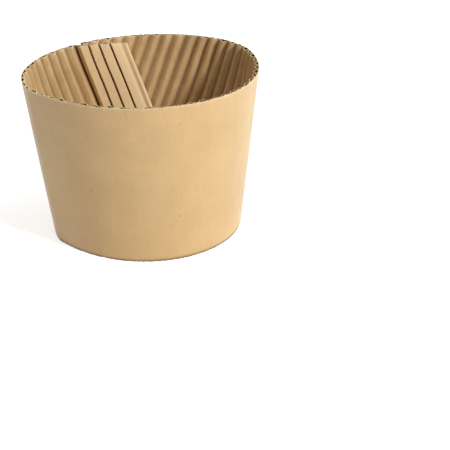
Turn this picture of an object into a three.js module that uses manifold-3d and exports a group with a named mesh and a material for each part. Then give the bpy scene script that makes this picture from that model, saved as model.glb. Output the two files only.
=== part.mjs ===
// Coffee cup sleeve: one die-cut blank of single-face corrugated board, rolled to a tapered
// band and glued where its ends lap. Smooth liner outside, bare flutes inside.
// Millimetres, +Z up, the wider rim on top, the two flat-pack creases at -X and +X.

import * as THREE from 'three';
import { mergeVertices } from 'three/addons/utils/BufferGeometryUtils.js';
import Module from 'manifold-3d';

// Blank
const panelTop = 137.5; // one panel along the top edge, crease to crease
const panelBottom = 114.9; // the same along the bottom edge
const slant = 62.6; // height of the blank, measured on the board
const outerEndToCrease = 60; // top edge, from the outer end to the left crease

// Board
const liner = 0.35;
const medium = 0.32;
const flutePitch = 4.75;
const channel = 1.3; // clear height under a flute's crest
const glueFoot = 0.6; // half width of a flute's glued foot on the liner

// Seam
const fluteCountToFlap = 26; // flutes from the blank's middle to the cut end of the flap
const lapFlutes = 4; // flutes of the flap that lie under the outer end
const crushedChannel = 0.45; // clear height left in a flute pressed flat in the seam
const slotHalfWidth = 0.45; // half of the narrow slot between two pressed flutes
const endGap = 0.9; // between the outer end and the step in the board
const glueGap = 0.22; // between the outer board's crests and the flap
const glueBite = 0.1; // how far the glue soaks into each side
const glueWidth = 2.6;
const glueMargin = 4; // bare board at both ends of a glue line
const flapDrop = 2; // the flap's cut end sits this much below the rim

// Opened shape, seen from above
const frontTurn = 157.5; // degrees that the front panel bends through
const frontSpread = -0.69; // below 0 it bends most in the middle, above 0 near the creases
const backSpread = 0.4;
const backSkew = 0.09; // the back bends slightly more towards the right crease

const rows = 4; // facets along a flute
const plies = liner + medium;
const thickness = plies + channel;

// The blank is part of a ring: its edges are arcs about one centre, its flutes are parallel.
const taper = panelBottom / panelTop;
const topRadius = slant / ( 1 - taper );
const bottomRadius = topRadius - slant;
const perimeter = 2 * panelTop;
const flapEndX = - fluteCountToFlap * flutePitch;
const stepStartX = flapEndX + lapFlutes * flutePitch;
const stepEndX = stepStartX + flutePitch / 2;

// One panel seen from above, bent through a turn that is shared out along its length.

function bentPanel( turn, skew, spread ) {

	const count = 240;
	const points = [ new THREE.Vector2() ];
	let angle = 0;

	for ( let i = 0; i < count; i ++ ) {

		const w = 2 * ( i + 0.5 ) / count - 1;
		const bend = turn * ( 1 + skew * w + spread * ( w * w - 1 / 3 ) ) / count;
		const heading = angle + bend / 2;
		const stride = new THREE.Vector2( Math.cos( heading ), Math.sin( heading ) ).multiplyScalar( panelTop / count );
		points.push( points[ i ].clone().add( stride ) );
		angle += bend;

	}

	return points;

}

function chordOf( points ) {

	return points[ points.length - 1 ].distanceTo( points[ 0 ] );

}

// Both panels share the creases, so the back bends until its chord equals the front's.

function backTurnFor( chord ) {

	let low = 0.2;
	let high = 1.4 * Math.PI;

	for ( let i = 0; i < 50; i ++ ) {

		const middle = ( low + high ) / 2;
		const tooOpen = chordOf( bentPanel( middle, backSkew, backSpread ) ) > chord;
		if ( tooOpen ) low = middle;
		else high = middle;

	}

	return low;

}

// Turns a panel so that it runs from one crease on the X axis to the other.

function laidOnAxis( points, from, to ) {

	const chord = points[ points.length - 1 ];
	const angle = Math.atan2( to.y - from.y, to.x - from.x ) - Math.atan2( chord.y, chord.x );
	return points.map( ( p ) => p.clone().rotateAround( new THREE.Vector2(), angle ).add( from ) );

}

function rimLoop() {

	const front = bentPanel( THREE.MathUtils.degToRad( frontTurn ), 0, frontSpread );
	const chord = chordOf( front );
	const back = bentPanel( backTurnFor( chord ), backSkew, backSpread ).map( ( p ) => p.setY( - p.y ) );
	const left = new THREE.Vector2( - chord / 2, 0 );
	const right = new THREE.Vector2( chord / 2, 0 );
	const backFromRight = laidOnAxis( back, left, right ).reverse();
	return [ ...laidOnAxis( front, left, right ), ...backFromRight.slice( 1, - 1 ) ];

}

const rim = rimLoop();

// A point of the top rim's outer face, by its distance round the rim from the left crease.

function rimPoint( distance ) {

	const place = THREE.MathUtils.euclideanModulo( distance / perimeter, 1 ) * rim.length;
	const i = Math.floor( place );
	return rim[ i % rim.length ].clone().lerp( rim[ ( i + 1 ) % rim.length ], place - i );

}

function inwardNormal( distance ) {

	const reach = 1.5;
	const along = rimPoint( distance + reach ).sub( rimPoint( distance - reach ) ).normalize();
	return new THREE.Vector2( - along.y, along.x );

}

// Height that the cone keeps of the slant, and how much further a level cut through it reaches.
const meanRadius = perimeter / ( 2 * Math.PI );
const lean = Math.asin( meanRadius * ( 1 - taper ) / slant );
const height = slant * Math.cos( lean );

// Angle on the ring of a flute line at a height on the blank.

function ringAngle( x, along ) {

	return Math.asin( x / ( bottomRadius + along ) );

}

// The outer end lies over this line of the flap, one turn of the rim further on.
const endLineX = stepStartX - endGap;
const outerEndTop = ringAngle( endLineX, slant ) + perimeter / topRadius;
const outerEndBottom = ringAngle( endLineX, 0 ) + perimeter / topRadius;
const outerEndTopX = topRadius * Math.sin( outerEndTop );
const outerEndBottomX = bottomRadius * Math.sin( outerEndBottom );
const middleDistance = perimeter - outerEndToCrease - outerEndTop * topRadius;

// Rolls a point of the flat board: x across the flutes, along a flute, depth from the outer face.

function roll( x, along, depth ) {

	const distance = middleDistance + ringAngle( x, along ) * topRadius;
	const share = along / slant;
	const outer = rimPoint( distance ).multiplyScalar( taper + ( 1 - taper ) * share );
	const face = outer.addScaledVector( inwardNormal( distance ), depth / Math.cos( lean ) );
	return new THREE.Vector3( face.x, face.y, height * share );

}

// Where a flute line starts and ends on the blank: the outer end is a slanted cut, and the
// flap's top edge runs slightly downhill.

function fluteStart( x ) {

	const share = ( x - outerEndBottomX ) / ( outerEndTopX - outerEndBottomX );
	return slant * THREE.MathUtils.clamp( share, 0, 1 );

}

function fluteEnd( x ) {

	const share = THREE.MathUtils.clamp( ( stepEndX - x ) / ( stepEndX - flapEndX ), 0, 1 );
	return slant - flapDrop * share;

}

// The flap steps inwards by one board, so that the outer faces stay level at the seam.

function stepDepth( x ) {

	const share = THREE.MathUtils.clamp( ( stepEndX - x ) / ( stepEndX - stepStartX ), 0, 1 );
	return share * ( thickness + glueGap );

}

// Half a flute from its foot (0) to its crest (half a pitch): [ distance, depth ] pairs of the
// bare inner face and of the channel behind it.

function waveHalf() {

	const wave = ( share ) => channel * ( 1 - Math.cos( Math.PI * share ) ) / 2;
	const at = ( share, base ) => [ share * flutePitch / 2, base + wave( share ) ];
	return {
		face: [ at( 0, plies ), at( 1 / 3, plies ), at( 2 / 3, plies ), at( 1, plies ) ],
		channel: [ [ glueFoot, liner ], at( 2 / 3, liner ), at( 1, liner ) ],
	};

}

function crushedHalf() {

	const crest = flutePitch / 2;
	const shoulder = slotHalfWidth + plies / 2;
	const top = plies + crushedChannel;
	return {
		face: [ [ 0, plies ], [ slotHalfWidth, plies ], [ shoulder, top ], [ crest, top ] ],
		channel: [ [ shoulder + medium, liner ], [ crest * 0.75, liner + crushedChannel ], [ crest, liner + crushedChannel ] ],
	};

}

// Closed outline of half a flute, and which of its edges are walls of the board.

function halfFlute( foot, side ) {

	const crestX = foot + side * flutePitch / 2;
	const half = crestX < stepStartX + flutePitch / 4 ? crushedHalf() : waveHalf();
	const crest = [ flutePitch / 2, liner ];
	const outline = [ [ 0, 0 ], [ flutePitch / 2, 0 ], crest, ...half.channel, ...half.face.reverse() ];
	const points = outline.map( ( [ distance, depth ] ) => new THREE.Vector2( foot + side * distance, depth ) );
	const onCut = ( p ) => Math.abs( p.x - foot ) < 1e-6 || Math.abs( p.x - crestX ) < 1e-6;
	const walls = points.map( ( p, i ) => {

		const next = points[ ( i + 1 ) % points.length ];
		return ! ( onCut( p ) && Math.abs( p.x - next.x ) < 1e-6 );

	} );
	return { points, walls };

}

// The board's cut ends: the flap's through a crest, the outer end where its tip gets too short.

function isBoardEnd( x, lastX ) {

	return Math.abs( x - flapEndX ) < 1e-6 || Math.abs( x - lastX ) < 1e-6;

}

function boardGeometry() {

	const positions = [];
	const lastCrest = Math.floor( ( outerEndTopX - endGap - flapEndX ) / flutePitch );
	const lastX = flapEndX + lastCrest * flutePitch;

	const corner = ( p, row ) => {

		const along = THREE.MathUtils.lerp( fluteStart( p.x ), fluteEnd( p.x ), row / rows );
		return roll( p.x, along, p.y + stepDepth( p.x ) );

	};

	const triangle = ( a, b, c ) => positions.push( ...a, ...b, ...c );

	for ( let i = 0; i < lastCrest; i ++ ) {

		const foot = flapEndX + ( i + 0.5 ) * flutePitch;

		for ( const side of [ - 1, 1 ] ) {

			const { points, walls } = halfFlute( foot, side );
			const face = side < 0 ? ( a, b, c ) => triangle( a, c, b ) : triangle;

			points.forEach( ( p, k ) => {

				const next = points[ ( k + 1 ) % points.length ];
				const endWall = Math.abs( p.x - next.x ) < 1e-6 && isBoardEnd( p.x, lastX );
				if ( ! walls[ k ] && ! endWall ) return;

				for ( let row = 0; row < rows; row ++ ) {

					const [ a, b ] = [ corner( p, row ), corner( next, row ) ];
					const [ c, d ] = [ corner( next, row + 1 ), corner( p, row + 1 ) ];
					face( a, b, c );
					face( a, c, d );

				}

			} );

			for ( const [ p, q, r ] of THREE.ShapeUtils.triangulateShape( points, [] ) ) {

				triangle( corner( points[ p ], 0 ), corner( points[ r ], 0 ), corner( points[ q ], 0 ) );
				triangle( corner( points[ p ], rows ), corner( points[ q ], rows ), corner( points[ r ], rows ) );

			}

		}

	}

	return closedGeometry( positions );

}

function closedGeometry( positions ) {

	const geometry = new THREE.BufferGeometry();
	geometry.setAttribute( 'position', new THREE.Float32BufferAttribute( positions, 3 ) );
	return mergeVertices( geometry, 1e-3 );

}

// A line of glue between the flap and the outer board, along the flap's flutes.

function glueGeometry( x ) {

	const geometry = new THREE.BoxGeometry( glueWidth, slant - 2 * glueMargin, glueGap + 2 * glueBite, 2, rows * 2, 1 );
	geometry.deleteAttribute( 'normal' );
	geometry.deleteAttribute( 'uv' );
	const merged = mergeVertices( geometry, 1e-3 );
	const places = merged.attributes.position;

	for ( let i = 0; i < places.count; i ++ ) {

		const p = new THREE.Vector3().fromBufferAttribute( places, i );
		const rolled = roll( x + p.x, slant / 2 + p.y, thickness + glueGap / 2 + p.z );
		places.setXYZ( i, rolled.x, rolled.y, rolled.z );

	}

	const turned = merged.index.array.slice();
	for ( let i = 0; i < turned.length; i += 3 ) [ turned[ i + 1 ], turned[ i + 2 ] ] = [ turned[ i + 2 ], turned[ i + 1 ] ];
	merged.setIndex( new THREE.BufferAttribute( turned, 1 ) );
	return merged;

}

const wasm = await Module();
wasm.setup();

function toSolid( geometry ) {

	const vertProperties = new Float32Array( geometry.attributes.position.array );
	const triVerts = new Uint32Array( geometry.index.array );
	return new wasm.Manifold( new wasm.Mesh( { numProp: 3, vertProperties, triVerts } ) );

}

function toGeometry( solid ) {

	const mesh = solid.getMesh();
	const geometry = new THREE.BufferGeometry();
	geometry.setAttribute( 'position', new THREE.BufferAttribute( mesh.vertProperties, 3 ) );
	geometry.setIndex( new THREE.BufferAttribute( mesh.triVerts, 1 ) );
	return geometry;

}

function sleeveGeometry() {

	let solid = toSolid( boardGeometry() );

	for ( let i = 1; i < lapFlutes; i ++ ) {

		solid = solid.add( toSolid( glueGeometry( flapEndX + i * flutePitch ) ) );

	}

	const geometry = toGeometry( solid );
	geometry.computeBoundingBox();
	const centre = geometry.boundingBox.getCenter( new THREE.Vector3() );
	geometry.translate( - centre.x, - centre.y, - geometry.boundingBox.min.z );
	geometry.computeVertexNormals();
	return geometry;

}

const kraft = new THREE.MeshStandardMaterial( { color: 0xc9a676, roughness: 0.9, metalness: 0 } );

const sleeve = new THREE.Mesh( sleeveGeometry(), kraft );
sleeve.name = 'sleeve';

const coffeeCupSleeve = new THREE.Group();
coffeeCupSleeve.add( sleeve );

export default coffeeCupSleeve;
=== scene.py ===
import math
import bpy
import numpy as np
from mathutils import Matrix, Vector


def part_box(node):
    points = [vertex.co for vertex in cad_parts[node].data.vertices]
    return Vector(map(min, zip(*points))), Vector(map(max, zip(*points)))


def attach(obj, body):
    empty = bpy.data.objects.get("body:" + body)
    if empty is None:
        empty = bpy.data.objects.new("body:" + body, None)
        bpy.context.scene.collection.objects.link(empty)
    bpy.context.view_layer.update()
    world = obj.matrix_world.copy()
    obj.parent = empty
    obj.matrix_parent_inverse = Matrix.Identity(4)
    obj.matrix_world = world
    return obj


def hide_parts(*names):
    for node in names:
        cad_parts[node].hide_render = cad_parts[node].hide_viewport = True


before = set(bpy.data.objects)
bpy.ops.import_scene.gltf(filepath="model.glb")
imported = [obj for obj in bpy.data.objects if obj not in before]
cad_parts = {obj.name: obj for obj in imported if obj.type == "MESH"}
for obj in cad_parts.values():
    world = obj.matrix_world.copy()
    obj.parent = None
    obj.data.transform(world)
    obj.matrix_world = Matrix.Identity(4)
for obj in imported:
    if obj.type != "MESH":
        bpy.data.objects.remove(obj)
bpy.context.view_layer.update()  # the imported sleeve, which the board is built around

print("frame loaded")

mm = 0.001  # every size in the dictionaries is in millimetres
# noise cells are given by their size across and along the flutes


# The flat blank: part of a ring, cut from board whose flutes all run the same way
blank = {
    "panelTop": 137.5,  # one panel along the top edge, crease to crease
    "panelBottom": 114.9,
    "slant": 62.6,  # height measured on the board
    "outerEndToCrease": 60,  # top edge, from the outer end to the left crease
    "flutePitch": 4.75,
    "flutesToFlap": 26,  # from the blank's middle to the flap's cut end
    "lapFlutes": 4,  # flutes of the flap under the outer end
    "endGap": 0.9,  # between the outer end and the step in the flap
    "flapDrop": 2,  # how far the flap's cut end sits below the rim
    "stepRun": 2.2,  # how far the flap takes to step inwards by one board
    "foldRun": 0.8,  # the same for the fluted side, which turns up more sharply
}

# How far the sleeve is opened: the bends of the front and back panels
opening = {
    "frontTurn": 157.5,  # degrees
    "frontSpread": -0.69,  # below 0 bends most in the middle
    "backSpread": 0.4,  # above 0 bends most near the creases
    "backSkew": 0.09,
    "facets": 1400,
    "normalReach": 1.3,  # the wall's direction is taken over this far to each side
}

# Another number gives other small irregularities
seeds = {
    "linerEdge": 11,
    "linerUneven": 3,
    "contactShadow": 41,
    "fibres": 51,
    "waves": 7,
    "mediumEdge": 23,
    "wander": 5,
    "dents": 8,
    "slack": 9,
    "glue": 31,
}

slant = blank["slant"]
pitch = blank["flutePitch"]
taper = blank["panelBottom"] / blank["panelTop"]
topRadius = slant / (1 - taper)
bottomRadius = topRadius - slant
perimeter = 2 * blank["panelTop"]
flapEnd = -blank["flutesToFlap"] * pitch
stepEnd = flapEnd + (blank["lapFlutes"] + 0.5) * pitch  # half a flute past the last pressed crest
lean = math.asin(perimeter / (2 * math.pi) * (1 - taper) / slant)
height = slant * math.cos(lean)


def bentPanel(turn, skew, spread):
    # seen from above, a strip of one panel's length that turns by the given angle
    count = opening["facets"]
    w = 2 * (np.arange(count) + 0.5) / count - 1
    meanSquare = 1 / 3  # taken off so that spread leaves the whole turn as it is
    bend = turn * (1 + skew * w + spread * (w * w - meanSquare)) / count
    heading = np.cumsum(bend) - bend / 2
    stride = np.stack([np.cos(heading), np.sin(heading)], 1) * blank["panelTop"] / count
    return np.vstack([[0, 0], np.cumsum(stride, 0)])


def backTurnFor(chord):
    # halves the range until the back panel's ends are as far apart as the front's
    low, high = 0.2, 1.4 * math.pi  # radians
    halvings = 50
    for _ in range(halvings):
        middle = (low + high) / 2
        panel = bentPanel(middle, opening["backSkew"], opening["backSpread"])
        if np.linalg.norm(panel[-1]) > chord:
            low = middle
        else:
            high = middle
    return low


def laidOnAxis(points, halfChord):
    # turns a panel so that it runs from the left crease to the right one
    angle = -math.atan2(points[-1, 1], points[-1, 0])
    cosine, sine = math.cos(angle), math.sin(angle)
    return points @ np.array([[cosine, sine], [-sine, cosine]]) + [-halfChord, 0]


def rimLoop():
    front = bentPanel(math.radians(opening["frontTurn"]), 0, opening["frontSpread"])
    chord = np.linalg.norm(front[-1])
    back = bentPanel(backTurnFor(chord), opening["backSkew"], opening["backSpread"]) * [1, -1]
    frontLaid = laidOnAxis(front, chord / 2)
    backLaid = laidOnAxis(back, chord / 2)[::-1]
    return np.vstack([frontLaid, backLaid[1:-1]])


rim = rimLoop()


def rimPoint(distance):
    place = np.mod(distance / perimeter, 1) * len(rim)
    i = np.floor(place).astype(int)
    share = (place - i)[..., None]
    return rim[i % len(rim)] * (1 - share) + rim[(i + 1) % len(rim)] * share


def inwardNormal(distance):
    reach = opening["normalReach"]
    along = rimPoint(distance + reach) - rimPoint(distance - reach)
    along /= np.linalg.norm(along, axis=-1, keepdims=True)
    return np.stack([-along[..., 1], along[..., 0]], -1)


def ringAngle(x, along):
    return np.arcsin(x / (bottomRadius + along))


# The outer end lies over this line of the flap, one turn further on
endLine = stepEnd - pitch / 2 - blank["endGap"]
outerEndTop = ringAngle(endLine, slant) + perimeter / topRadius
outerEndBottom = ringAngle(endLine, 0) + perimeter / topRadius
outerEndTopX = topRadius * math.sin(outerEndTop)
outerEndBottomX = bottomRadius * math.sin(outerEndBottom)
middleDistance = perimeter - blank["outerEndToCrease"] - outerEndTop * topRadius


def roll(x, along, depth):
    # x across the flutes, along a flute, depth inwards from the smooth face
    distance = middleDistance + ringAngle(x, along) * topRadius
    share = along / slant
    outer = rimPoint(distance) * (taper + (1 - taper) * share)[..., None]
    face = outer + inwardNormal(distance) * (depth / math.cos(lean))[..., None]
    return np.concatenate([face, (height * share)[..., None]], -1)


def fluteStart(x):
    return slant * np.clip((x - outerEndBottomX) / (outerEndTopX - outerEndBottomX), 0, 1)


def fluteEnd(x):
    share = np.clip((stepEnd - x) / (stepEnd - flapEnd), 0, 1)
    return slant - blank["flapDrop"] * share


def smooth(t):
    t = np.clip(t, 0, 1)
    return t * t * (3 - 2 * t)


def stepDepth(x, run):
    share = smooth((stepEnd - x) / run)
    return share * (medium["boardDepth"] + glue["gap"])


def softNoise(x, y, cells, seed):
    # smooth random heights from -1 to 1
    size = 211
    shift = 500  # keeps every cell's number above 0
    table = np.random.RandomState(seed).uniform(-1, 1, (size, size))
    px, py = x / cells[0] + shift, y / cells[1] + shift
    ix, iy = np.floor(px).astype(int), np.floor(py).astype(int)
    fx, fy = smooth(px - ix), smooth(py - iy)

    def corner(column, row):
        return table[column % size, row % size]

    lower = corner(ix, iy) * (1 - fx) + corner(ix + 1, iy) * fx
    upper = corner(ix, iy + 1) * (1 - fx) + corner(ix + 1, iy + 1) * fx
    return lower * (1 - fy) + upper * fy


# What the knife leaves along the rim and the foot
knifeCut = {
    "coarse": 0.9,  # width of the larger tears
    "fine": 0.3,
    "fineShare": 0.6,
    "alongCell": 9,
    "run": 0.025,  # share of the height that the tears reach into
    "fibreStrength": 0.85,
    "fibreDepth": 0.3,
    "fibrePatches": 0.3,
    "fibreCells": (2.1, 9),
}


def patchy(x, along, amount, cells, seed):
    # from 1 down to 1 - 2 * amount
    return 1 - amount + amount * softNoise(x, along, cells, seed)


def rimFibres(x, along):
    # the cut leaves a pale line of bared fibres along the rim
    patches = patchy(x[:, None], along, knifeCut["fibrePatches"], knifeCut["fibreCells"], seeds["fibres"])
    belowRim = along - fluteEnd(x)[:, None]
    return knifeCut["fibreStrength"] * np.exp(belowRim / knifeCut["fibreDepth"]) * patches


def sheetRows(middleRows):
    # shares of the height, closer together near the two cut edges
    near = np.array([0, 0.004, 0.011, 0.022, 0.04])
    middle = np.linspace(0.07, 0.93, middleRows)
    return np.concatenate([near, middle, 1 - near[::-1]])


def alongGrid(x, shares, ragged, seed):
    start, end = fluteStart(x)[:, None], fluteEnd(x)[:, None]
    along = start + (end - start) * shares[None, :]
    coarseCells = (knifeCut["coarse"], knifeCut["alongCell"])
    fineCells = (knifeCut["fine"], knifeCut["alongCell"])
    coarse = softNoise(x[:, None], along, coarseCells, seed)
    fine = softNoise(x[:, None], along, fineCells, seed + 1)
    fuzz = coarse + fine * knifeCut["fineShare"]
    run = knifeCut["run"]
    atRim = np.where(shares > 0.5, smooth((shares - (1 - run)) / run), 0)
    atFoot = np.where(shares < 0.5, smooth((run - shares) / run), 0)
    return along - np.abs(fuzz) * ragged * atRim + np.abs(fuzz) * ragged * atFoot


centreShift = np.zeros(2)  # set once the liner is made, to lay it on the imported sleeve
sharpAngle = 48  # degrees; faces that meet more sharply keep a hard edge


def sheetObject(name, front, back, materials, shades=None):
    # front faces the inside of the sleeve, back the outside; walls close the border
    columns, rows = front.shape[:2]
    points = np.concatenate([front.reshape(-1, 3), back.reshape(-1, 3)])
    points[:, :2] -= centreShift
    index = np.arange(columns * rows).reshape(columns, rows)
    other = index + columns * rows

    def quads(a, b, c, d):
        return np.stack([a, b, c, d], -1).reshape(-1, 4)

    frontFaces = quads(index[:-1, :-1], index[:-1, 1:], index[1:, 1:], index[1:, :-1])
    backFaces = quads(other[:-1, :-1], other[1:, :-1], other[1:, 1:], other[:-1, 1:])
    walls = np.concatenate([
        quads(index[:-1, -1], other[:-1, -1], other[1:, -1], index[1:, -1]),
        quads(index[1:, 0], other[1:, 0], other[:-1, 0], index[:-1, 0]),
        quads(index[-1, :-1], index[-1, 1:], other[-1, 1:], other[-1, :-1]),
        quads(other[0, :-1], other[0, 1:], index[0, 1:], index[0, :-1]),
    ])
    faces = np.concatenate([frontFaces, backFaces, walls])
    kinds = np.repeat([0, 1, 2], [len(frontFaces), len(backFaces), len(walls)])
    mesh = bpy.data.meshes.new(name)
    mesh.from_pydata((points * mm).tolist(), [], faces.tolist())
    for material in materials:
        mesh.materials.append(material)
    mesh.polygons.foreach_set("material_index", kinds.astype(np.int32))
    for shade, values in (shades or {}).items():
        both = np.concatenate([values.ravel(), values.ravel()]).astype(np.float32)
        mesh.attributes.new(shade, "FLOAT", "POINT").data.foreach_set("value", both)
    mesh.shade_smooth()
    mesh.set_sharp_from_angle(angle=math.radians(sharpAngle))
    mesh.update()
    piece = bpy.data.objects.new(name, mesh)
    bpy.context.scene.collection.objects.link(piece)
    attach(piece, "root")
    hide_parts("sleeve")
    print(name, "has", 2 * len(faces), "triangles")


# Materials

pulp = {
    "cloudRange": (0.35, 0.65),
    "noiseRange": (0.3, 0.7),  # noise mostly stays between these two
    "fibreStretch": (1, 1, 0.28),  # fibres are longest up the sleeve
    "cloudDetail": 3,
    "fibreDetail": 5,
    "grainDetail": 3,
    "fleckCore": 0.5,  # share of a fleck that is wholly dark
    "fleckFade": 0.02,
    "roughnessSpread": 0.07,
    "grainRelief": 0.6,
    "reliefHeight": 0.00006,  # metres
}


def newMaterial(name):
    material = bpy.data.materials.new(name)
    material.use_nodes = True
    tree = material.node_tree
    tree.nodes.clear()
    return material, tree


def addNode(tree, kind, inputs):
    node = tree.nodes.new(kind)
    for socket, value in inputs.items():
        node.inputs[socket].default_value = value
    return node


def mathNode(tree, operation, a, b):
    node = tree.nodes.new("ShaderNodeMath")
    node.operation = operation
    for socket, value in zip(node.inputs, (a, b)):
        if isinstance(value, bpy.types.NodeSocket):
            tree.links.new(value, socket)
        else:
            socket.default_value = value
    return node.outputs[0]


def noiseAt(tree, place, scale, detail, stretch=None):
    if stretch:
        mapping = addNode(tree, "ShaderNodeMapping", {"Scale": stretch})
        tree.links.new(place, mapping.inputs["Vector"])
        place = mapping.outputs[0]
    noise = addNode(tree, "ShaderNodeTexNoise", {"Scale": scale, "Detail": detail})
    tree.links.new(place, noise.inputs["Vector"])
    return noise.outputs["Fac"]


def mixColour(tree, factor, a, b, blend="MIX"):
    node = tree.nodes.new("ShaderNodeMix")
    node.data_type = "RGBA"
    node.blend_type = blend
    # inputs 6 and 7 and output 2 are the ones for colours
    for socket, value in ((node.inputs[0], factor), (node.inputs[6], a), (node.inputs[7], b)):
        if isinstance(value, bpy.types.NodeSocket):
            tree.links.new(value, socket)
        else:
            socket.default_value = value if isinstance(value, float) else (*value, 1)
    return node.outputs[2]


def ranged(tree, value, fromRange, toRange):
    limits = {
        "From Min": fromRange[0],
        "From Max": fromRange[1],
        "To Min": toRange[0],
        "To Max": toRange[1],
    }
    node = addNode(tree, "ShaderNodeMapRange", limits)
    tree.links.new(value, node.inputs["Value"])
    return node.outputs[0]


def aroundOne(contrast):
    return 1 - contrast, 1 + contrast


def shadedBy(tree, attribute, colour, shade):
    # mixes in a shade where the mesh's attribute says so
    node = tree.nodes.new("ShaderNodeAttribute")
    node.attribute_name = attribute
    return mixColour(tree, node.outputs["Fac"], colour, shade)


def withFlecks(tree, place, colour, look):
    # sparse dark flecks of bark in the pulp
    cells = addNode(tree, "ShaderNodeTexVoronoi", {"Scale": look["fleckScale"]})
    tree.links.new(place, cells.inputs["Vector"])
    split = tree.nodes.new("ShaderNodeSeparateColor")
    tree.links.new(cells.outputs["Color"], split.inputs[0])
    fleckEdge = (look["fleckSize"] * pulp["fleckCore"], look["fleckSize"])
    near = ranged(tree, cells.outputs["Distance"], fleckEdge, (1, 0))
    chosenEdge = (look["fleckShare"], look["fleckShare"] + pulp["fleckFade"])
    chosen = ranged(tree, split.outputs[0], chosenEdge, (1, 0))
    inFleck = mathNode(tree, "MULTIPLY", near, chosen)
    fleck = mathNode(tree, "MULTIPLY", inFleck, look["fleckStrength"])
    return mixColour(tree, fleck, colour, look["fleck"])


def paperMaterial(name, look):
    material, tree = newMaterial(name)
    place = tree.nodes.new("ShaderNodeTexCoord").outputs["Object"]
    cloud = noiseAt(tree, place, look["cloudScale"], pulp["cloudDetail"])
    fibre = noiseAt(tree, place, look["fibreScale"], pulp["fibreDetail"], pulp["fibreStretch"])
    grain = noiseAt(tree, place, look["grainScale"], pulp["grainDetail"])
    cloudShare = ranged(tree, cloud, pulp["cloudRange"], (0, 1))
    colour = mixColour(tree, cloudShare, look["dark"], look["light"])
    fibreShade = ranged(tree, fibre, pulp["noiseRange"], aroundOne(look["fibreContrast"]))
    grainShade = ranged(tree, grain, pulp["noiseRange"], aroundOne(look["grainContrast"]))
    shade = mathNode(tree, "MULTIPLY", fibreShade, grainShade)
    combine = tree.nodes.new("ShaderNodeCombineColor")
    for socket in combine.inputs:
        tree.links.new(shade, socket)
    colour = mixColour(tree, 1.0, colour, combine.outputs[0], "MULTIPLY")
    colour = withFlecks(tree, place, colour, look)
    # pale: bared fibres along the rim, and painted light on the pressed flap
    if "paleShade" in look:
        colour = shadedBy(tree, "pale", colour, look["paleShade"])
    # mixes in painted shade: the contact shadow at the foot, and shade in the slots, flute feet and
    # valley
    if "paintedShadeColour" in look:
        colour = shadedBy(tree, "paintedShade", colour, look["paintedShadeColour"])
    shader = addNode(tree, "ShaderNodeBsdfPrincipled", {"Specular IOR Level": look["gloss"]})
    tree.links.new(colour, shader.inputs["Base Color"])
    smoothest = look["roughness"] - pulp["roughnessSpread"]
    roughest = look["roughness"] + pulp["roughnessSpread"]
    rough = ranged(tree, fibre, pulp["noiseRange"], (smoothest, roughest))
    tree.links.new(rough, shader.inputs["Roughness"])
    grainRelief = mathNode(tree, "MULTIPLY", grain, pulp["grainRelief"])
    relief = mathNode(tree, "ADD", fibre, grainRelief)
    depths = {"Strength": look["bump"], "Distance": pulp["reliefHeight"]}
    bump = addNode(tree, "ShaderNodeBump", depths)
    tree.links.new(relief, bump.inputs["Height"])
    tree.links.new(bump.outputs[0], shader.inputs["Normal"])
    output = tree.nodes.new("ShaderNodeOutputMaterial")
    tree.links.new(shader.outputs[0], output.inputs["Surface"])
    return material


smoothPaper = {
    "dark": (0.586, 0.379, 0.167),
    "light": (0.626, 0.41, 0.186),
    "paleShade": (0.95, 0.79, 0.55),  # bared fibres
    "paintedShadeColour": (0.1, 0.06, 0.03),  # painted contact shadow along the foot
    "fleck": (0.2, 0.12, 0.06),
    "cloudScale": 85, "fibreScale": 1500, "grainScale": 3200,
    "fibreContrast": 0.038, "grainContrast": 0.035,
    "fleckScale": 150, "fleckSize": 0.06, "fleckShare": 0.22, "fleckStrength": 0.6,
    "roughness": 0.43, "gloss": 0.52, "bump": 0.35,
}

flutedPaper = {
    "dark": (0.565, 0.366, 0.17),
    "light": (0.645, 0.434, 0.216),
    # bared fibres, and painted light on the pressed flap
    "paleShade": (0.92, 0.7, 0.42),
    # painted shade in the slots, the flute feet and the valley
    "paintedShadeColour": (0.07, 0.035, 0.014),
    "fleck": (0.2, 0.11, 0.05),
    "cloudScale": 110, "fibreScale": 1300, "grainScale": 2600,
    "fibreContrast": 0.08, "grainContrast": 0.05,
    "fleckScale": 210, "fleckSize": 0.07, "fleckShare": 0.25, "fleckStrength": 0.5,
    "roughness": 0.75, "gloss": 0.15, "bump": 0.5,
}

# the same paper inside the flutes, painted dark as shade because little light comes there
channelShadePaper = dict(flutedPaper)
channelShadePaper.update({"dark": (0.1, 0.05, 0.02), "light": (0.15, 0.08, 0.03), "gloss": 0.02})
channelShadePaper.pop("paleShade")

cutPaper = {
    "dark": (0.78, 0.57, 0.32),
    "light": (0.92, 0.72, 0.45),
    "fleck": (0.3, 0.18, 0.09),
    "cloudScale": 700, "fibreScale": 2600, "grainScale": 4800,
    "fibreContrast": 0.14, "grainContrast": 0.1,
    "fleckScale": 700, "fleckSize": 0.12, "fleckShare": 0.15, "fleckStrength": 0.5,
    "roughness": 0.9, "gloss": 0.05, "bump": 0.7,
}

driedGlue = {
    "dark": (0.5, 0.34, 0.17),
    "light": (0.6, 0.44, 0.25),
    "fleck": (0.3, 0.2, 0.1),
    "cloudScale": 300, "fibreScale": 1800, "grainScale": 3000,
    "fibreContrast": 0.06, "grainContrast": 0.04,
    "fleckScale": 400, "fleckSize": 0.05, "fleckShare": 0.1, "fleckStrength": 0.3,
    "roughness": 0.4, "gloss": 0.5, "bump": 0.3,
}


linerPaper = paperMaterial("linerPaper", smoothPaper)
channelShadeKraft = paperMaterial("channelShadeKraft", channelShadePaper)
fluteKraft = paperMaterial("fluteKraft", flutedPaper)
cutEdge = paperMaterial("cutEdge", cutPaper)
gluePaste = paperMaterial("gluePaste", driedGlue)
print("materials made")


# The smooth outer paper

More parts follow.
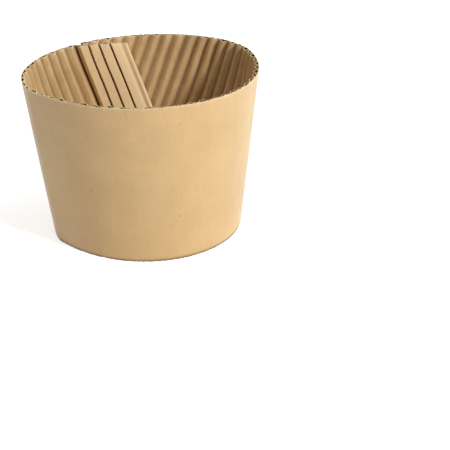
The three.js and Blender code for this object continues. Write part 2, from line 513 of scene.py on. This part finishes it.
liner = {
    "thickness": 0.27,
    "step": 0.55,  # spacing of the mesh around the sleeve
    "rows": 26,
    "unevenness": 0.07,
    "unevenCells": (17, 21),
    "evenFoot": 6,  # the unevenness starts over this height above the floor
    "washboard": 0.01,  # how much of the flutes shows through
    "raggedEdge": 0.26,
    # the painted contact shadow along the foot: its height, patchiness and noise cells
    "contactShadowHeight": 0.9,
    "contactShadowPatches": 0.15,
    "contactShadowCells": (1.3, 9),
}


def lastColumn():
    shortest = 0.3 / slant  # the blank's last corner keeps 0.3 mm of height
    return outerEndTopX - shortest * (outerEndTopX - outerEndBottomX)


def makeLiner():
    x = np.arange(flapEnd, lastColumn(), liner["step"])
    x = np.append(x, lastColumn())
    along = alongGrid(x, sheetRows(liner["rows"]), liner["raggedEdge"], seeds["linerEdge"])
    wide = np.broadcast_to(x[:, None], along.shape)
    drift = softNoise(wide, along, liner["unevenCells"], seeds["linerUneven"]) * liner["unevenness"]
    drift += np.cos(2 * math.pi * (wide - flapEnd) / pitch) * liner["washboard"]
    outside = stepDepth(wide, blank["stepRun"]) + drift * smooth(along / liner["evenFoot"])
    inside = outside + liner["thickness"]
    # the lower cut edge is painted dark as a contact shadow where the sleeve stands on it
    patches = patchy(wide, along, liner["contactShadowPatches"], liner["contactShadowCells"], seeds["contactShadow"])
    contactShadow = np.exp(-(along / liner["contactShadowHeight"]) ** 3) * patches
    shades = {"paintedShade": contactShadow, "pale": rimFibres(x, along)}
    return roll(wide, along, inside), roll(wide, along, outside), shades


# The fluted paper glued to the liner's inner side

medium = {
    "thickness": 0.25,
    "boardDepth": 1.97,  # from the smooth face to a flute's crest
    "sunkFoot": 0.02,  # the glued feet sit this far in the liner
    "crestPower": 1.05,  # above 1 the crests are narrower than the troughs
    "columnsPerFlute": 16,
    "rows": 22,
    "flapStep": 0.11,  # spacing of the mesh across the pressed flap
    "pitchDrift": 0.11,
    "heightDrift": 0.05,
    "heightRange": (-1, 0.6),  # more flutes are low than tall
    "wander": 0.2,
    "wanderCells": (9, 11),
    "slackness": 0.035,
    "slackCells": (5, 14),
    "edgeDent": 0.55,
    "dentBias": 0.6,
    "dentCells": (3.1, 30),
    "dentReach": 1.1,  # how far the dents reach down from the rim
    # painted shade along the feet of the open flutes
    "troughShadeHeight": 0.36,
    "troughShade": 0.5,
    "raggedEdge": 0.3,
}


def wavePath():
    # the open flutes, from the step in the flap to the outer end
    rng = np.random.RandomState(seeds["waves"])
    first = blank["lapFlutes"]
    count = int((lastColumn() - flapEnd) / pitch) + 2
    crests = flapEnd + pitch * np.arange(count + 1)
    drift = rng.uniform(-1, 1, count + 1) * medium["pitchDrift"]
    drift[: first + 1] = 0
    crests = crests + drift
    tallness = 1 + rng.uniform(*medium["heightRange"], count + 1) * medium["heightDrift"]
    u = np.arange(medium["columnsPerFlute"]) / medium["columnsPerFlute"]
    xs, depths = [], []
    tall = medium["boardDepth"] - medium["thickness"] - liner["thickness"] + medium["sunkFoot"]
    for i in range(first, count):
        x = crests[i] + u * (crests[i + 1] - crests[i])
        share = tallness[i] * (1 - smooth(u)) + tallness[i + 1] * smooth(u)
        hump = ((1 + np.cos(2 * math.pi * u)) / 2) ** medium["crestPower"]
        keep = (x > stepEnd) if i == first else np.full(len(x), True)
        xs.append(x[keep])
        depths.append((tall * share * hump)[keep])
    x, depth = np.concatenate(xs), np.concatenate(depths)
    inside = x < lastColumn()
    return x[inside], depth[inside]


pressedFlap = {
    "height": 0.85,  # clear height left in a pressed flute
    "slotHalf": 0.4,
    "slotSharpness": 5,
    "slotShadeLevel": 0.55,  # a slot gets painted shade where the paper is lower than this share
    "slotShadeRun": 0.45,
    "wallRun": 0.22,
    "curl": 0.55,  # the cut end bends down over this width
    "lip": 0.16,  # and its last strip stands this share higher
    "lipPlace": 0.2,  # in flutes from the cut end
    "valley": 0.68,
    "valleyPlace": 0.5,
    "valleyHalf": 0.85,
    # painted shade along the valley by the cut end
    "valleyShade": 0.1,
    # painted light that makes the pressed flap paler
    "flapPaintedLight": 0.26,
    "flapPaintedLightAtEnd": 0.62,  # added towards the cut end
}


def flapBump(x, place):
    fromPlace = x - flapEnd - place * pitch
    return np.exp(-(fromPlace / pressedFlap["valleyHalf"]) ** 2)


def pressedShape(x, slotHalf):
    # height of the pressed flutes, from 0 at a foot to 1 on a flat band
    toCurl = np.clip(pressedFlap["curl"] - (x - flapEnd), 0, None) / pressedFlap["curl"]
    shape = np.sqrt(np.clip(1 - toCurl ** 2, 0, 1))
    valley = pressedFlap["valley"] * flapBump(x, pressedFlap["valleyPlace"])
    lip = pressedFlap["lip"] * flapBump(x, pressedFlap["lipPlace"])
    shape = shape * (1 - valley + lip)
    for i in range(1, blank["lapFlutes"] + 1):
        foot = flapEnd + (i + 0.5) * pitch
        shape = shape * (1 - np.exp(-(np.abs(x - foot) / slotHalf) ** pressedFlap["slotSharpness"]))
    return shape


def flapLayers(x, footDepth):
    # depths of the pressed paper's two faces
    pressed = pressedFlap["height"]
    front = footDepth + medium["thickness"] + pressed * pressedShape(x, pressedFlap["slotHalf"])
    wideSlot = pressedFlap["slotHalf"] + pressedFlap["wallRun"]
    return front, footDepth + pressed * pressedShape(x, wideSlot)


def mediumShades(x, along, flapCount, hump):
    slots = pressedShape(x, pressedFlap["slotHalf"])
    # painted shade deep in the flap's slots
    darkness = smooth((pressedFlap["slotShadeLevel"] - slots) / pressedFlap["slotShadeRun"])
    slotPaintedShade = np.where((x < stepEnd) & (x > flapEnd + pitch), darkness, 0)
    # painted shade makes the feet of the open flutes a little darker
    foot = np.concatenate([np.zeros(flapCount), np.exp(-(hump / medium["troughShadeHeight"]) ** 2)])
    # painted shade along the valley by the cut end
    valleyPaintedShade = flapBump(x, pressedFlap["valleyPlace"]) * pressedFlap["valleyShade"]
    paintedShade = np.maximum(slotPaintedShade, foot * medium["troughShade"]) + valleyPaintedShade
    # painted light makes the flap's flutes paler, most of all near the cut end
    toCutEnd = (stepEnd - x) / (stepEnd - flapEnd)
    flapPaintedLight = pressedFlap["flapPaintedLight"] + pressedFlap["flapPaintedLightAtEnd"] * toCutEnd ** 2
    flapLightened = np.where(x < stepEnd, flapPaintedLight, 0)
    fibres = rimFibres(x, along)
    return {"paintedShade": paintedShade[:, None] * (1 - fibres), "pale": np.maximum(flapLightened[:, None], fibres)}


def makeMedium():
    half = medium["thickness"] / 2
    footDepth = liner["thickness"] - medium["sunkFoot"]
    flapX = np.arange(flapEnd, stepEnd, medium["flapStep"])
    flapFront, flapBack = flapLayers(flapX, footDepth)
    waveX, hump = wavePath()
    slope = np.gradient(hump, waveX)
    tilt = 1 / np.sqrt(1 + slope ** 2)
    middle = footDepth + half + hump
    frontX = np.concatenate([flapX, waveX - half * slope * tilt])
    frontDepth = np.concatenate([flapFront, middle + half * tilt])
    backX = np.concatenate([flapX, waveX + half * slope * tilt])
    backDepth = np.concatenate([flapBack, middle - half * tilt])
    x = np.concatenate([flapX, waveX])
    wide = x[:, None]

    along = alongGrid(x, sheetRows(medium["rows"]), medium["raggedEdge"], seeds["mediumEdge"])
    wander = softNoise(wide, along, medium["wanderCells"], seeds["wander"]) * medium["wander"]
    edge = np.exp(-(fluteEnd(x)[:, None] - along) / medium["dentReach"])
    dentNoise = softNoise(wide, along, medium["dentCells"], seeds["dents"])
    dents = (dentNoise + medium["dentBias"]) * medium["edgeDent"]
    slack = softNoise(wide, along, medium["slackCells"], seeds["slack"]) * medium["slackness"]
    squeeze = 1 - np.clip(dents, 0, 1) * edge + slack
    faces = []
    for faceX, depth, foot in ((frontX, frontDepth, footDepth + 2 * half), (backX, backDepth, footDepth)):
        rise = foot + (depth - foot)[:, None] * squeeze + stepDepth(faceX, blank["foldRun"])[:, None]
        faces.append(roll(faceX[:, None] + wander, along, rise))
    return faces[0], faces[1], mediumShades(x, along, len(flapX), hump)


# Lines of glue that hold the outer end on the flap

glue = {
    "gap": 0.22,
    "bite": 0.1,
    "width": 2.6,
    "margin": 4,
    "columns": 7,
    "rows": 25,
    "unevenness": 0.15,
    "unevenCells": (1.5, 3),
}


def makeGlue(line):
    x = line + np.linspace(-0.5, 0.5, glue["columns"]) * glue["width"]
    along = np.linspace(glue["margin"], slant - glue["margin"], glue["rows"])
    wide, tall = np.meshgrid(x, along, indexing="ij")
    middle = medium["boardDepth"] + glue["gap"] / 2
    thick = glue["gap"] / 2 + glue["bite"]
    squeeze = 1 + softNoise(wide, tall, glue["unevenCells"], seeds["glue"]) * glue["unevenness"]
    return roll(wide, tall, middle + thick * squeeze), roll(wide, tall, middle - thick * squeeze)


linerFront, linerBack, linerShades = makeLiner()
low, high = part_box("sleeve")
bothFaces = np.concatenate([linerFront.reshape(-1, 3), linerBack.reshape(-1, 3)])
cadCentre = np.array([(low.x + high.x) / 2, (low.y + high.y) / 2]) / mm
centreShift = (bothFaces[:, :2].min(0) + bothFaces[:, :2].max(0)) / 2 - cadCentre
sheetObject("liner_sheet", linerFront, linerBack, [channelShadeKraft, linerPaper, cutEdge], linerShades)
flutedFront, flutedBack, flutedShades = makeMedium()
sheetObject("fluted_sheet", flutedFront, flutedBack, [fluteKraft, channelShadeKraft, cutEdge], flutedShades)
for i in range(1, blank["lapFlutes"]):
    glueFront, glueBack = makeGlue(flapEnd + i * pitch)
    sheetObject("glue_line_" + str(i), glueFront, glueBack, [gluePaste, gluePaste, gluePaste])
print("sleeve built")


# Floor, backdrop and light

studio = {
    "floorSize": 6,  # metres
    "floorColour": (0.9, 0.9, 0.9, 1),
    "floorLift": 0.6,  # what the camera sees on top of the lit floor
    "skyStrength": 0.42,
}

# Angles in degrees to the camera's right and up, distances and sizes in metres
lamps = {
    "keyLight": {
        "right": 51, "up": 34, "distance": 0.9, "size": 0.15,
        "power": 5.8, "colour": (1, 1, 1),
    },
    "backLight": {
        "right": 124, "up": 17, "distance": 0.9, "size": 0.5,
        "power": 2.8, "colour": (0.55, 0.8, 1),
    },
}

view = {
    "heading": 29.24,  # degrees from +Y towards +X
    "tilt": 26.58,  # degrees downwards
    "roll": -0.72,
    "lens": 85.58,
    "sensor": 36,
    "place": (-0.160095, -0.345602, 0.186898),
}


def seenDirectly(tree):
    path = tree.nodes.new("ShaderNodeLightPath").outputs
    first = mathNode(tree, "MAXIMUM", path["Is Camera Ray"], path["Is Glossy Ray"])
    return mathNode(tree, "MAXIMUM", first, path["Is Transmission Ray"])


def makeFloor():
    bpy.ops.mesh.primitive_plane_add(size=studio["floorSize"], location=(0, 0, 0))
    floor = bpy.context.object
    floor.name = "floor"
    material, tree = newMaterial("paleFloor")
    matt = addNode(tree, "ShaderNodeBsdfDiffuse", {"Color": studio["floorColour"]})
    lift = addNode(tree, "ShaderNodeEmission", {"Color": (1, 1, 1, 1)})
    liftStrength = mathNode(tree, "MULTIPLY", seenDirectly(tree), studio["floorLift"])
    tree.links.new(liftStrength, lift.inputs["Strength"])
    both = tree.nodes.new("ShaderNodeAddShader")
    tree.links.new(matt.outputs[0], both.inputs[0])
    tree.links.new(lift.outputs[0], both.inputs[1])
    output = tree.nodes.new("ShaderNodeOutputMaterial")
    tree.links.new(both.outputs[0], output.inputs["Surface"])
    floor.data.materials.append(material)


def makeSky():
    world = bpy.data.worlds.new("studioSky")
    bpy.context.scene.world = world
    world.use_nodes = True
    tree = world.node_tree
    background = tree.nodes["Background"]
    background.inputs["Color"].default_value = (1, 1, 1, 1)
    strength = ranged(tree, seenDirectly(tree), (0, 1), (studio["skyStrength"], 1))
    tree.links.new(strength, background.inputs["Strength"])


def makeLamps():
    heading = math.radians(view["heading"])
    toCamera = math.atan2(-math.cos(heading), -math.sin(heading))
    centre = Vector((0, 0, height * mm / 2))
    for name, lamp in lamps.items():
        azimuth = toCamera + math.radians(lamp["right"])
        elevation = math.radians(lamp["up"])
        flat, rise = math.cos(elevation), math.sin(elevation)
        towards = Vector((math.cos(azimuth) * flat, math.sin(azimuth) * flat, rise))
        light = bpy.data.lights.new(name, "AREA")
        light.size = lamp["size"]
        light.energy = lamp["power"]
        light.color = lamp["colour"]
        stand = bpy.data.objects.new(name, light)
        bpy.context.scene.collection.objects.link(stand)
        stand.location = centre + towards * lamp["distance"]
        stand.rotation_euler = (-towards).to_track_quat("-Z", "Y").to_euler()


def makeCamera():
    lens = bpy.data.cameras.new("camera")
    lens.sensor_width = view["sensor"]
    lens.lens = view["lens"]
    camera = bpy.data.objects.new("camera", lens)
    bpy.context.scene.collection.objects.link(camera)
    turn = Matrix.Rotation(-math.radians(view["heading"]), 4, "Z")
    tip = Matrix.Rotation(math.radians(90 - view["tilt"]), 4, "X")
    bank = Matrix.Rotation(math.radians(view["roll"]), 4, "Z")
    camera.matrix_world = Matrix.Translation(view["place"]) @ turn @ tip @ bank
    bpy.context.scene.camera = camera


makeFloor()
makeSky()
makeLamps()
makeCamera()
bpy.context.scene.view_settings.view_transform = "Standard"
print("studio set")
